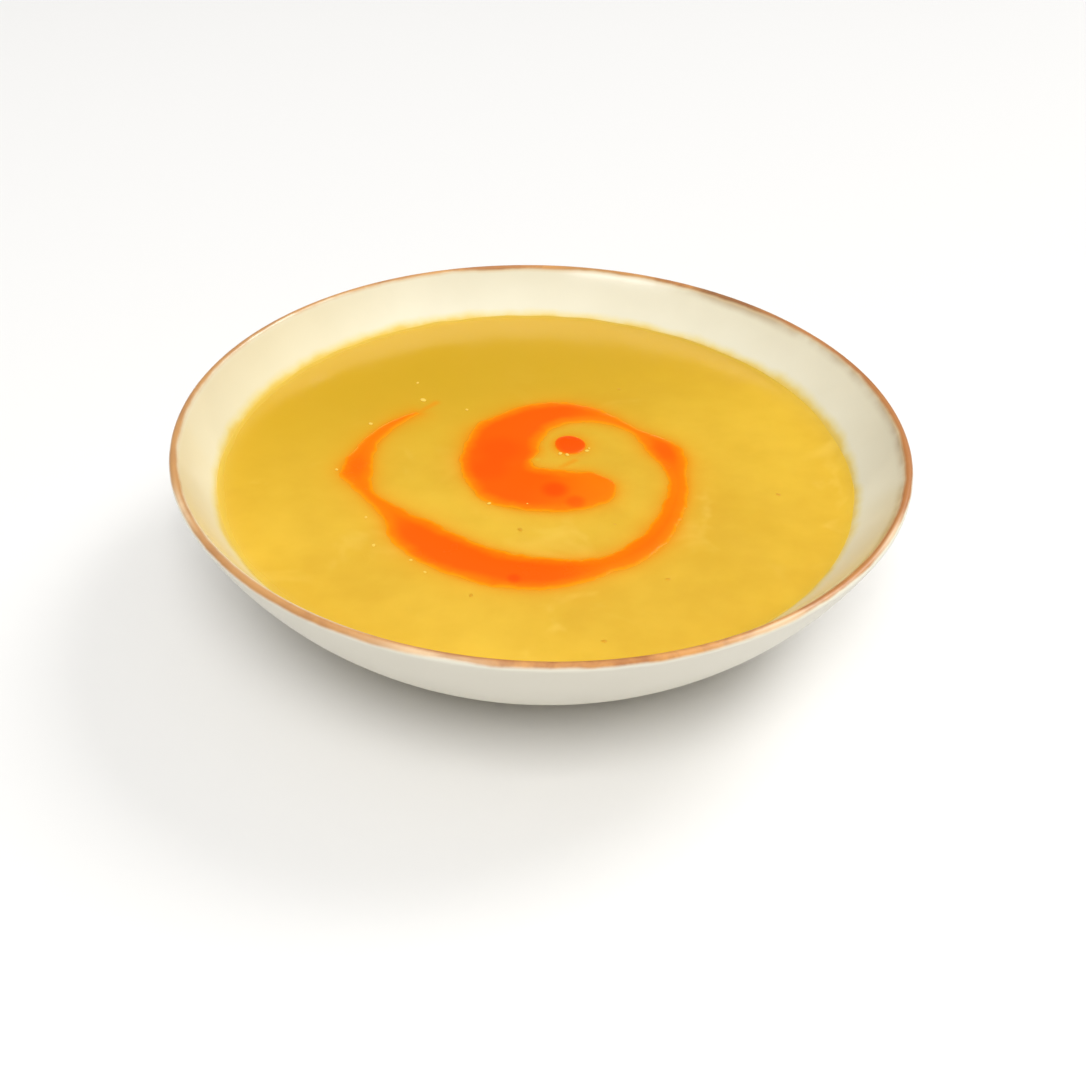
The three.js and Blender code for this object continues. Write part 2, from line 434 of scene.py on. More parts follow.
def turned_faces(rings, steps):
    """Faces between rings of vertices, closed by the two poles that follow the rings."""
    faces = []
    for ring in range(rings - 1):
        for step in range(steps):
            here, there = ring * steps + step, ring * steps + (step + 1) % steps
            faces.append((here, there, there + steps, here + steps))
    first, last = rings * steps, rings * steps + 1
    for step in range(steps):
        after = (step + 1) % steps
        top = (rings - 1) * steps
        faces.append((first, after, step))
        faces.append((last, top + step, top + after))
    return faces


def ripple(turn, waves):
    """A sum of waves round a circle, each with its height, its count and its phase."""
    return sum(height * np.sin(count * turn + phase) for height, count, phase in waves)


print("turned shapes ready")

# %% Make the bowl's mesh
TURNS = 320
OUT_OF_ROUND = [(0.10, 2, 0.7), (0.05, 5, 2.1)]
UP_AND_DOWN = [(0.08, 3, 1.2)]
lip_top = rim_height + LIP_RADIUS

# The brown band: an azimuth in degrees, and how many millimetres from the top of the lip the
# band starts on the outside, counted as less than nothing, and ends on the inside.
LIP_BAND = np.array([
    (0, -1.4, 0.8), (14, -1.0, 0.9), (30, -0.5, 1.0), (48, -0.4, 1.2), (62, -0.3, 1.1),
    (82, 0.0, 0.9), (92, -0.9, 1.2), (103, -0.8, 1.2), (112, -0.2, 0.8), (135, -0.5, 0.7),
    (155, -1.2, 0.7), (175, -1.6, 0.8), (195, -1.2, 0.8), (207, -1.1, 0.8), (216, -1.3, 0.5),
    (226, -1.4, 0.3), (240, -1.5, 0.3), (250, -1.4, 0.7), (262, -1.3, 1.3), (285, -1.2, 1.3),
    (296, -1.1, 0.8), (304, -1.0, 0.5), (315, -0.8, 1.0), (330, -0.8, 1.0), (342, -0.9, 0.9),
    (352, -1.2, 0.8), (360, -1.4, 0.8),
])
# Pale patches on the outer half of the lip, painted highlights with some pale glaze: azimuth and half
# width in degrees.
HIGHLIGHT_STRETCHES = [(303, 7), (257, 7), (208, 5), (330, 5)]
HIGHLIGHT_REACH = 2.4


def pale_glaze_and_highlight(turn, from_lip):
    """How much painted highlight and pale glaze lie on the lip, from its top to 2.4 mm down the outside.
    """
    azimuth = np.degrees(turn)
    pale = sum(np.exp(-(((azimuth - middle) / half) ** 2)) for middle, half in HIGHLIGHT_STRETCHES)
    top_end = np.clip(0.5 - 1.2 * from_lip, 0, 1)
    low_end = np.clip(HIGHLIGHT_REACH + from_lip, 0, 1)
    return np.clip(pale, 0, 1) * top_end * low_end


def inside_band(turn, from_lip):
    """How many millimetres of wall a place is inside the brown band; outside it is negative."""
    azimuth = np.degrees(turn)
    outer = np.interp(azimuth, LIP_BAND[:, 0], LIP_BAND[:, 1])
    inner = np.interp(azimuth, LIP_BAND[:, 0], LIP_BAND[:, 2])
    return np.minimum(from_lip - outer, inner - from_lip)


def drift_at(height):
    """How far the inside is off centre: nothing at the lip, all of it from the soup down."""
    return inside_drift * np.clip((lip_top - height) / (lip_top - soup_level), 0, 1)


def make_bowl():
    walk = np.hypot(*np.diff(profile, axis=0).T)
    along = np.concatenate(([0], np.cumsum(walk)))
    from_lip = along - along[lip_index]
    turn = np.arange(TURNS) * 2 * math.pi / TURNS
    radius, height = profile[1:-1, :1], profile[1:-1, 1:]
    wide = radius + ripple(turn, OUT_OF_ROUND) * (height / lip_top) ** 2
    tall = height + ripple(turn, UP_AND_DOWN) * (height / lip_top) ** 4
    shift = np.where(from_lip[1:-1, None] > 0, drift_at(height), 0)
    rings = np.stack((wide * np.cos(turn) + shift, wide * np.sin(turn), tall), axis=-1)
    poles = [[0, 0, profile[0, 1]], [inside_drift, 0, profile[-1, 1]]]
    vertices = np.vstack((rings.reshape(-1, 3), poles))
    band = inside_band(turn, from_lip[1:-1, None]).ravel()
    numbers = {
        "from_lip": np.append(np.repeat(from_lip[1:-1], TURNS), from_lip[[0, -1]]),
        "in_band": np.append(band, [-10, -10]),
        "pale_glaze_and_highlight": np.append(pale_glaze_and_highlight(turn, from_lip[1:-1, None]).ravel(), [0, 0]),
    }
    return mesh_object("stoneware_bowl", vertices, turned_faces(len(profile) - 2, TURNS), numbers)


bowl = make_bowl()
print("bowl:", len(bowl.data.polygons), "faces")

# %% [markdown]
# ## The glaze
#
# Cream glaze runs thin over the lip and breaks to the iron brown of the clay. The band's edges
# are ragged, and it reaches further in on one side than on the other. In a few places its outer
# half is pale: painted highlights, with some pale glaze. Just above the soup a film of it has
# stained the wall, and the foot ring is bare clay. Painted light and shade are in the colour too:
# warm light inside on the left, shade on the outside and towards the foot, and shade on the far
# lip. All of these are masks made from the numbers on the vertices, from height, and from noise.
# Each part of the colour has a function of its own.

# %% Choose the colours of the glaze
CREAM_LIGHT, CREAM_DEEP = paint(250, 247, 226), paint(242, 238, 215)
# The warm cream is painted light on the left inside wall; the outside cream is painted shade.
CREAM_WARM_LIGHT, CREAM_OUTSIDE_SHADE = paint(243, 230, 184), paint(225, 219, 204)
# The low cream is painted shade towards the foot.
CREAM_LOW_SHADE, THIN_GLAZE = paint(206, 198, 176), paint(233, 208, 164)
LIP_TAN, LIP_BROWN = paint(224, 160, 90), paint(180, 116, 66)
# The dark lip colour is painted shade on the far side.
LIP_DULL, LIP_FAR_SHADE = paint(196, 148, 98), paint(112, 78, 48)
# The pale lip colour is mostly painted highlight, with some pale glaze.
LIP_PALE_HIGHLIGHT, LIP_SMUDGE = paint(240, 208, 166), paint(182, 150, 110)
SOUP_FILM, FILM_FOOT = paint(242, 222, 130), paint(240, 203, 84)
BARE_CLAY = paint(196, 168, 132)
print("cream, brown, soup stain and clay")

# %% Write the parts of the glaze


def cream_colour(tree, side, from_lip, outside):
    """Cream with painted warm light inside on the left, and painted shade on the outside."""
    clouds = use_group(tree, CLOUDING, Broad=14.0, Fine=70.0)
    # Painted warm light where the key light falls on the left inside wall.
    warm_light = times(tree, fade(tree, side, -0.3, -1.0), fade(tree, from_lip, 0.0, 3.0, 0.0, 0.6))
    return layered(tree, CREAM_LIGHT, (clouds, CREAM_DEEP), (warm_light, CREAM_WARM_LIGHT), (outside, CREAM_OUTSIDE_SHADE))


def smudged(tree, cream, bent, side, from_lip, patches):
    """Smudges of iron below the band, inside on the right, and thin glaze all along its edge."""
    smudge = times(tree, fade(tree, bent, -3.5, 0.0, 0.0, 0.7), fade(tree, side, 0.0, 0.6))
    smudge = times(tree, smudge, fade(tree, patches, 0.33, 0.56))
    smudge = times(tree, smudge, fade(tree, from_lip, 0.0, 0.8))
    beside = times(tree, fade(tree, bent, -1.4, 0.0), fade(tree, from_lip, -1.2, -0.2, 0.0, 0.8))
    return layered(tree, cream, (smudge, LIP_SMUDGE), (beside, THIN_GLAZE))


def lip_colour(tree, coordinates, side, back, patches):
    """Streaky brown: dull on the left, deeper on the right, with painted shade in patches on the far
    side.
    """
    streaks = cloud(tree, coordinates, 45.0, detail=5.0, roughness=0.65, distortion=0.4)
    dull = fade(tree, side, -0.9, 0.3, 0.7, 0.0)
    brown = fade(tree, side, 0.4, 0.9, 0.0, 0.8)
    # Painted shade on the far lip, broken into patches.
    far_shade = times(tree, fade(tree, back, 0.5, 0.95), fade(tree, side, -0.1, 0.3))
    far_shade = times(tree, far_shade, fade(tree, patches, 0.4, 0.6, 0.2, 0.8))
    # Painted highlights on the outer lip, with some pale glaze.
    pale = times(tree, number_on(tree, "pale_glaze_and_highlight"), fade(tree, streaks, 0.3, 0.55, 0.35, 0.9))
    lip = mix_colour(tree, fade(tree, streaks, 0.38, 0.62), LIP_BROWN, LIP_TAN)
    return layered(tree, lip, (dull, LIP_DULL), (brown, LIP_BROWN), (far_shade, LIP_FAR_SHADE), (pale, LIP_PALE_HIGHLIGHT))


def stained(tree, colour, height, uneven, from_lip):
    """The film that the soup left above its level, only on the inside wall."""
    level = soup_level * MM
    risen = plus(tree, height, times(tree, uneven, 3.0 * MM))
    film = fade(tree, risen, level + 0.3 * MM, level + 3.2 * MM, 0.95, 0.0)
    film = times(tree, film, fade(tree, from_lip, 1.0, 4.0))
    stain = mix_colour(tree, fade(tree, risen, level, level + 2.0 * MM), FILM_FOOT, SOUP_FILM)
    return mix_colour(tree, film, colour, stain)


def shaded_low(tree, colour, height, ragged, from_lip):
    """Painted shade low on the outside: the cream turns darker and greyer towards the foot."""
    uneven = minus(tree, height, times(tree, ragged, 6 * MM))
    low = fade(tree, uneven, 8 * MM, 26 * MM, 1.0, 0.0)
    low = times(tree, low, fade(tree, from_lip, -4.0, 0.0, 0.8, 0.0))
    return mix_colour(tree, low, colour, CREAM_LOW_SHADE)


print("five parts of the glaze")

# %% Mix the glaze


def glaze_finish():
    material, tree, shader = new_finish("cream_glaze", IOR=1.5)
    coordinates = object_place(tree)
    place = add(tree, "ShaderNodeSeparateXYZ", {0: coordinates})
    height = place.outputs["Z"]
    side = calc(tree, "DIVIDE", place.outputs["X"], rim_radius * MM)
    back = calc(tree, "DIVIDE", place.outputs["Y"], rim_radius * MM)
    from_lip = number_on(tree, "from_lip")
    ragged = minus(tree, cloud(tree, coordinates, 90.0, detail=4.0), 0.5)
    broad = minus(tree, cloud(tree, coordinates, 16.0, detail=1.0), 0.5)
    patches = cloud(tree, coordinates, 30.0, detail=4.0, roughness=0.6)

    # The edge of the brown band is bent by noise before the band is cut out of the cream.
    bent = plus(tree, number_on(tree, "in_band"), times(tree, ragged, 1.4))
    bent = plus(tree, bent, times(tree, broad, 0.8))
    lip_mask = fade(tree, bent, -0.55, 0.4)
    # The outside mask lays painted shade on the outer wall and makes the glaze there rougher.
    outside = fade(tree, plus(tree, from_lip, ragged), -2.2, -0.9, 0.8, 0.0)
    cream = cream_colour(tree, side, from_lip, outside)
    cream = smudged(tree, cream, bent, side, from_lip, patches)
    colour = mix_colour(tree, lip_mask, cream, lip_colour(tree, coordinates, side, back, patches))
    colour = stained(tree, colour, height, plus(tree, ragged, broad), from_lip)
    # Painted shade low down on the outside.
    colour = shaded_low(tree, colour, height, ragged, from_lip)

    # The foot ring is bare clay, and bare clay and iron are less glossy than glaze.
    edge = times(tree, ragged, 0.8 * MM)
    bare = fade(tree, plus(tree, height, edge), 0.7 * MM, 1.1 * MM, 1.0, 0.0)
    colour = mix_colour(tree, bare, colour, BARE_CLAY)
    dry = calc(tree, "MAXIMUM", bare, times(tree, lip_mask, 0.7))
    roughness = plus(tree, times(tree, dry, 0.3), 0.14)
    roughness = plus(tree, roughness, times(tree, outside, 0.25))
    feed(tree, shader.inputs["Base Color"], colour)
    feed(tree, shader.inputs["Roughness"], roughness)
    feed(tree, shader.inputs["Normal"], skin_normal(tree, 0.02 * MM, Wide=55.0, Close=900.0))
    return material


bowl.data.materials.append(glaze_finish())
print("glaze on the bowl")

# %% [markdown]
# ## The path of the oil
#
# The oil was poured in a spiral round one drop. The spiral is written as stations: the angle
# round the drop, and how far the two edges of the ribbon lie from the drop's centre. A smooth
# curve through the stations gives as many points as a mesh needs.

# %% Smooth the stations
DROP_CENTRE = np.array([8.0, 8.0])
DROP_RADIUS = 4.6
RIBBON_STATIONS = np.array([
    (162, 47.2, 48.8), (172, 51.1, 55.2), (184, 55.2, 60.8), (195, 56.9, 65.9),
    (206, 59.3, 63.2), (217, 56.2, 62.6), (230, 53.3, 67.0), (250, 53.6, 67.9),
    (266, 53.4, 65.4), (279, 52.6, 59.6), (287, 49.4, 57.0), (296, 45.2, 53.2),
    (314, 36.8, 43.9), (328, 32.4, 38.5), (340, 27.4, 35.0), (352, 22.6, 33.6),
    (364, 20.9, 30.8), (376, 20.0, 25.0), (388, 18.8, 21.9), (406, 16.4, 20.9),
    (430, 13.6, 22.0), (460, 11.0, 24.0), (500, 9.0, 26.0), (520, 8.5, 28.8),
    (545, 8.9, 30.6), (556, 9.0, 32.4), (564, 9.6, 33.3), (572, 11.4, 34.6),
    (579, 14.2, 35.4), (592, 15.0, 37.0), (612, 13.6, 34.8), (636, 13.4, 31.8),
    (653, 14.8, 28.8), (661, 18.6, 24.6), (663, 21.0, 22.4),
])


def smooth_stations(stations, steps):
    """A Catmull-Rom curve through the stations, with this many steps between two of them."""
    before, after = 2 * stations[0] - stations[1], 2 * stations[-1] - stations[-2]
    points = np.vstack((before, stations, after))
    share = (np.arange(steps) / steps)[:, None]
    stretches = []
    for a, b, c, d in zip(points, points[1:], points[2:], points[3:]):
        bend = 2 * a - 5 * b + 4 * c - d
        twist = 3 * b - a - 3 * c + d
        stretches.append(b + 0.5 * ((c - a) * share + bend * share**2 + twist * share**3))
    return np.vstack((*stretches, stations[-1]))


def around_drop(angle, distance):
    """Places in the soup's surface, from angles in degrees and distances in millimetres."""
    turn = np.radians(angle)
    return DROP_CENTRE + np.column_stack((distance * np.cos(turn), distance * np.sin(turn)))


path = smooth_stations(RIBBON_STATIONS, 24)
fine_path = smooth_stations(RIBBON_STATIONS, 90)
outline = np.vstack([around_drop(fine_path[:, 0], fine_path[:, edge]) for edge in (1, 2)])
print(len(path), "points along the ribbon")

# %% [markdown]
# ## The soup
#
# A thick puree has an almost level surface. It climbs the wall a little all round, it keeps faint
# swells from the ladle, and it dips under the oil. A grid of rings is fine enough to hold all
# three. Two numbers ride on the vertices for the finish: how close the oil is, and how close the
# wall is.

# %% Measure distances on the soup
TRAILS = [((9.4, 0.2), (5.2, -4.0)), ((-37.6, 22.8), (-32.6, 29.0))]
SWELL_LENGTHS = (46.0, 33.0, 24.0, 17.0)


def inner_wall_radius(height):
    """The radius of the bowl's inside at a height."""
    rise = inner_centre[1] - height
    return inner_centre[0] + math.sqrt(INNER_ARC_RADIUS**2 - rise**2)


def swells(x, y):
    """Slow waves in random directions, between -1 and 1."""
    rng = np.random.default_rng(11)
    total = np.zeros_like(x)
    for length in SWELL_LENGTHS:
        way, phase = rng.uniform(0, 2 * math.pi, 2)
        walk = x * math.cos(way) + y * math.sin(way)
        total += np.sin(2 * math.pi * walk / length + phase) / len(SWELL_LENGTHS)
    return total


def distance_from(points):
    """A function that measures how far places are from the nearest of some points."""
    tree = kdtree.KDTree(len(points))
    for index, (x, y) in enumerate(points):
        tree.insert((x, y, 0), index)
    tree.balance()
    return lambda places: np.array([tree.find((x, y, 0))[2] for x, y in places])


def inside_ribbon(places):
    """Which places lie between the ribbon's two edges, on any of its turns."""
    x, y = (places - DROP_CENTRE).T
    far, angle = np.hypot(x, y), np.degrees(np.arctan2(y, x)) % 360
    inside = np.zeros(len(places), bool)
    for turn in (0, 360):
        here = angle + turn
        near_edge = np.interp(here, path[:, 0], path[:, 1])
        far_edge = np.interp(here, path[:, 0], path[:, 2])
        on_path = (here >= path[0, 0]) & (here <= path[-1, 0])
        inside |= on_path & (far > near_edge) & (far < far_edge)
    return inside


def from_oil(places):
    """How far places are from the oil. Inside the oil it is negative."""
    gap = distance_from(outline)(places)
    to_drop = np.hypot(*(places - DROP_CENTRE).T) - DROP_RADIUS
    return np.minimum(np.where(inside_ribbon(places), -gap, gap), to_drop)


def from_trails(places):
    """How far places are from the faint trails below the drop and past the ribbon's tip."""
    return distance_from(np.vstack([np.linspace(start, end, 30) for start, end in TRAILS]))(places)


print("soup's edge at", round(inner_wall_radius(soup_level), 1), "mm from the inside's middle")

# %% Make the soup's mesh
SOUP_TURNS = 420
SOUP_RINGS, RING_SPREAD = 130, 0.9
WALL_CLIMB, CLIMB_CHANGE, CLIMB_REACH, CLIMB_SCALE = 0.35, 0.25, 1.8, 1.4
INTO_WALL = 0.5
SWELL, SWELL_START = 0.10, 6.0
BED_DEPTH, BED_START, BED_SLOPE = 0.6, 1.0, 1.2
BLEED_REACH, BLEED_CHANGE = 1.6, 0.35
BLEED_TAIL, TAIL_SHARE = 5.0, 0.22
TRAIL_WIDTH, TRAIL_SHARE = 1.2, 0.75
# The soup's paleness at the wall; its change from left to right is painted light.
GLOW, GLOW_CHANGE, GLOW_REACH = 0.36, 0.24, 1.5
BODY_RINGS, BODY_GAP, BODY_TOP = 8, 0.35, 1.0
SOUP_FLOOR = floor_height + 0.4
soup_turn = np.arange(SOUP_TURNS) * 2 * math.pi / SOUP_TURNS


def soup_grid():
    """Places on rings over the surface, and how far each one is from the wall."""
    edge = inner_wall_radius(soup_level + WALL_CLIMB) + INTO_WALL
    out = np.linspace(0, 1, SOUP_RINGS + 1)[1:] ** RING_SPREAD * edge
    x = (out[:, None] * np.cos(soup_turn)).ravel() + inside_drift
    y = (out[:, None] * np.sin(soup_turn)).ravel()
    to_wall = np.clip(edge - INTO_WALL - np.repeat(out, SOUP_TURNS), 0, None)
    return np.column_stack((x, y)), to_wall


def surface_height(places, to_wall, to_oil):
    """The level with its beds under the oil, its climb at the wall and its swells."""
    x, y = places.T
    bed = BED_DEPTH * np.clip((-to_oil - BED_START) / BED_SLOPE, 0, 1)
    climb = WALL_CLIMB + CLIMB_CHANGE * swells(CLIMB_SCALE * x, CLIMB_SCALE * y)
    climb *= np.exp(-to_wall / CLIMB_REACH)
    calm = np.clip(to_oil / SWELL_START, 0, 1)
    return soup_level + climb + SWELL * calm * swells(x, y) - bed


def oil_closeness(places, to_oil):
    """How much orange the soup takes: a short bleed, a long faint tail and the trails."""
    x, y = places.T
    reach = BLEED_REACH * (1 + BLEED_CHANGE * swells(y, x))
    outside = np.clip(to_oil, 0, None)
    bleed = (1 - TAIL_SHARE) * np.exp(-outside / reach) + TAIL_SHARE * np.exp(-outside / BLEED_TAIL)
    return np.maximum(bleed, TRAIL_SHARE * np.exp(-((from_trails(places) / TRAIL_WIDTH) ** 2)))


def wall_closeness(places, to_wall):
    """How pale the soup is at the wall, where it is thin, with painted light that makes it paler on the
    left, where the key light falls.
    """
    x, y = places.T
    return (GLOW - GLOW_CHANGE * x / np.hypot(x, y)) * np.exp(-to_wall / GLOW_REACH)


def soup_body():
    """Rings below the surface, which follow the wall down to the floor."""
    rings = []
    for height in np.linspace(soup_level - BODY_TOP, SOUP_FLOOR, BODY_RINGS):
        radius = inner_wall_radius(height) - BODY_GAP
        x, y = radius * np.cos(soup_turn) + inside_drift, radius * np.sin(soup_turn)
        rings.append(np.column_stack((x, y, np.full(SOUP_TURNS, height))))
    return rings


def outward_normals(thing):
    """Turns a closed mesh's faces outwards."""
    work = bmesh.new()
    work.from_mesh(thing.data)
    bmesh.ops.recalc_face_normals(work, faces=work.faces)
    work.to_mesh(thing.data)
    work.free()


def make_soup():
    places, to_wall = soup_grid()
    to_oil = from_oil(places)
    surface = np.column_stack((places, surface_height(places, to_wall, to_oil)))
    poles = [[inside_drift, 0, soup_level], [inside_drift, 0, SOUP_FLOOR]]
    vertices = np.vstack((surface, *soup_body(), poles))
    unseen = np.zeros(len(vertices) - len(surface))
    numbers = {
        "near_oil": np.append(oil_closeness(places, to_oil), unseen),
        "near_wall": np.append(wall_closeness(places, to_wall), unseen),
    }
    faces = turned_faces(SOUP_RINGS + BODY_RINGS, SOUP_TURNS)
    soup = mesh_object("lentil_soup", vertices, faces, numbers)
    outward_normals(soup)
    return soup


soup = make_soup()
print("soup:", len(soup.data.polygons), "faces")

# %% [markdown]
# ## The soup's finish
#
# Lentil puree is deep yellow, a little cloudy, and light goes a short way into it. A yellow like
# this turns olive as soon as it loses red, so the deep tone is an ochre with as much red as the
# light one. The far side is deeper, a painted shade of the wall, and pale smudges drift in it. The
# oil bleeds into it as a soft orange edge. At the wall, where it is thin, it is paler, and painted
# light makes it paler still on the left.

# %% Mix the soup's finish
# The far soup colour is painted shade from the wall.
SOUP_LIGHT, SOUP_DEEP, SOUP_FAR_SHADE = paint(229, 186, 55), paint(214, 169, 42), paint(208, 164, 32)
# The thin colour at the wall carries painted light on the left.
SOUP_PALE, SOUP_THIN_AND_LIT = paint(240, 202, 84), paint(234, 202, 92)
OIL_BLEED = paint(230, 146, 2)
FAR_TURN, FAR_START, FAR_END = 0.45, -20.0, 70.0


def soup_finish():
    through = {"Subsurface_Weight": 0.12, "Subsurface_Scale": 2 * MM}
    material, tree, shader = new_finish("lentil_puree", IOR=1.5, Specular_IOR_Level=0.5, **through)
    shader.inputs["Subsurface Radius"].default_value = (1.0, 0.6, 0.15)
    clouds = use_group(tree, CLOUDING, Broad=18.0, Fine=110.0, Contrast=0.2)
    coordinates = object_place(tree)
    place = add(tree, "ShaderNodeSeparateXYZ", {0: coordinates})
    drifts = cloud(tree, coordinates, 42.0, detail=3.0, roughness=0.6, distortion=0.6)
    drifts = fade(tree, drifts, 0.55, 0.72, 0.0, 0.4)
    # Painted shade: deeper towards the far side, in the wall's shade.
    far = minus(tree, place.outputs["Y"], times(tree, place.outputs["X"], FAR_TURN))
    far = fade(tree, far, FAR_START * MM, FAR_END * MM)
    oil, wall = number_on(tree, "near_oil"), number_on(tree, "near_wall")
    puree = layered(tree, SOUP_LIGHT, (clouds, SOUP_DEEP), (drifts, SOUP_PALE), (far, SOUP_FAR_SHADE))
    # At the wall: paler where the soup is thin, and painted light on the left.
    colour = layered(tree, puree, (oil, OIL_BLEED), (wall, SOUP_THIN_AND_LIT))
    feed(tree, shader.inputs["Base Color"], colour)
    roughness = plus(tree, fade(tree, clouds, 0, 1, 0.12, 0.2), times(tree, wall, 0.5))
    feed(tree, shader.inputs["Roughness"], roughness)
    normal = skin_normal(tree, 0.05 * MM, Wide=110.0, Close=420.0, Share=0.15)
    feed(tree, shader.inputs["Normal"], normal)
    return material


soup.data.materials.append(soup_finish())
print("finish on the soup")

# %% [markdown]
# ## The ribbon of oil
#
# The ribbon follows a path, so geometry nodes make it. A straight line of points carries the
# stations as attributes, and a round section is swept along it. Then every point is moved: the
# section's sideways place becomes the place between the two edges, its height becomes a low lens,
# and the straight tube is bent round the drop. Noise makes the poured edge uneven. It is read in
# space and not along the path, so the bumps are as wide on the tight inner turn as on the outer.

# %% Build the ribbon's node tree
RIBBON_CORNERS = 40
RIBBON_CROWN, RIBBON_DEPTH, FULL_HALF_WIDTH = 0.42, 1.0, 3.0
EDGE_UNEVENNESS, EDGE_FINENESS, EDGE_SEED = 3.3, 230.0, 4.0


def geometry_group(name, inputs):
    """A geometry group that takes a geometry and more inputs, and gives a geometry."""
    kind = "NodeSocketGeometry"
    return new_group("GeometryNodeTree", name, {"Geometry": (kind, None), **inputs}, ("Geometry", kind))


def stored(tree, name):
    kind = "GeometryNodeInputNamedAttribute"
    return add(tree, kind, {"Name": name}, data_type="FLOAT").outputs["Attribute"]


def store(tree, geometry, name, value):
    inputs = {"Geometry": geometry, "Name": name, "Value": value}
    kind = "GeometryNodeStoreNamedAttribute"
    return add(tree, kind, inputs, data_type="FLOAT", domain="POINT").outputs["Geometry"]


def finish_tree(tree, geometry, material, out):
    """Every tree here ends the same way: real meshes, one material."""
    real = add(tree, "GeometryNodeRealizeInstances", {"Geometry": geometry}).outputs["Geometry"]
    smooth = add(tree, "GeometryNodeSetShadeSmooth", {"Geometry": real}).outputs["Geometry"]
    last = add(tree, "GeometryNodeSetMaterial", {"Geometry": smooth, "Material": material})
    feed(tree, out, last.outputs["Geometry"])


def ribbon_tree():
    size = "NodeSocketFloat"
    tree, ins, out, names = geometry_group("poured_ribbon", {
        "Corners": ("NodeSocketInt", RIBBON_CORNERS), "Crown": (size, 0.0), "Depth": (size, 0.0),
        "Level": (size, 0.0), "Full Half Width": (size, 1.0), "Drop X": (size, 0.0),
        "Drop Y": (size, 0.0), "Unevenness": (size, 0.0), "Fineness": (size, 0.0),
        "Seed": (size, 0.0), "Material": ("NodeSocketMaterial", None),
    })
    # A round section that remembers how far across and how far up each corner is.
    circle = add(tree, "GeometryNodeCurvePrimitiveCircle", {"Resolution": ins["Corners"], "Radius": 1})
    corner = add(tree, "ShaderNodeSeparateXYZ", {0: add(tree, "GeometryNodeInputPosition").outputs[0]})
    section = store(tree, circle.outputs["Curve"], "across", corner.outputs["X"])
    section = store(tree, section, "up", corner.outputs["Y"])
    line = add(tree, "GeometryNodeMeshToCurve", {"Mesh": ins["Geometry"]}).outputs["Curve"]
    sweep = {"Curve": line, "Profile Curve": section, "Fill Caps": True}
    tube = add(tree, "GeometryNodeCurveToMesh", sweep).outputs["Mesh"]

    # The uneven edge: noise that is read where the point will lie, stronger away from the middle.
    angle, across, up = (stored(tree, name) for name in ("angle", "across", "up"))
    middle, half = stored(tree, "middle"), stored(tree, "half")
    cosine, sine = calc(tree, "COSINE", angle), calc(tree, "SINE", angle)
    distance = plus(tree, middle, times(tree, across, half))
    even_x, even_y = times(tree, distance, cosine), times(tree, distance, sine)
    noise_place = add(tree, "ShaderNodeCombineXYZ", {0: even_x, 1: even_y, 2: ins["Seed"]}).outputs[0]
    bumps = cloud(tree, noise_place, ins["Fineness"], detail=3.5, roughness=0.6)
    push = times(tree, times(tree, minus(tree, bumps, 0.5), ins["Unevenness"]), across)
    thick = calc(tree, "MINIMUM", calc(tree, "DIVIDE", half, ins["Full Half Width"]), 1.0)
    push = times(tree, push, thick)

    # Bend the tube round the drop and press it to a lens.
    distance = plus(tree, distance, push)
    x = plus(tree, ins["Drop X"], times(tree, distance, cosine))
    y = plus(tree, ins["Drop Y"], times(tree, distance, sine))
    above = calc(tree, "MAXIMUM", up, 0.0)
    above = times(tree, times(tree, above, above), ins["Crown"])
    below = times(tree, calc(tree, "MINIMUM", up, 0.0), ins["Depth"])
    lens = times(tree, plus(tree, above, below), thick)
    z = plus(tree, ins["Level"], lens)
    place = add(tree, "ShaderNodeCombineXYZ", {0: x, 1: y, 2: z}).outputs[0]
    inward = times(tree, minus(tree, 1.0, calc(tree, "ABSOLUTE", across)), half)
    tube = store(tree, tube, "from_edge", inward)
    bent = add(tree, "GeometryNodeSetPosition", {"Geometry": tube, "Position": place})
    finish_tree(tree, bent.outputs["Geometry"], ins["Material"], out)
    return tree, names


RIBBON_TREE, ribbon_inputs = ribbon_tree()
print("ribbon tree:", len(RIBBON_TREE.nodes), "nodes")

# %% [markdown]
# ## The oil's finish
#
# Where the oil is thin, light comes back from the yellow soup below and it looks bright orange.
# Where it is deep it turns red. So its colour runs from the edge inwards, and a narrow stretch
# never gets as red as a wide one. The oil is glossier than the soup, but it isn't a mirror.

# %% Mix the oil's finish
OIL_EDGE, OIL_THIN, OIL_NARROW = paint(244, 146, 6), paint(251, 122, 4), paint(249, 114, 2)
OIL_DEEP, OIL_RED, DROP_RED = paint(247, 92, 3), paint(230, 68, 2), paint(242, 82, 2)
THIN_END = (math.radians(600), math.radians(655))
NARROW_HALF, WIDE_HALF = 2.6 * MM, 6.5 * MM
# Where the oil is deepest: x and y in millimetres, how far the red reaches and how strong it is.
RED_SPOTS = [
    (3.9, -15.2, 5.2, 0.7), (9.5, -20.4, 3.8, 0.5), (-12.0, 4.0, 9.0, 0.35), (-14.5, -6.0, 8.0, 0.3),
    (-5.8, -54.0, 2.4, 0.6),
]


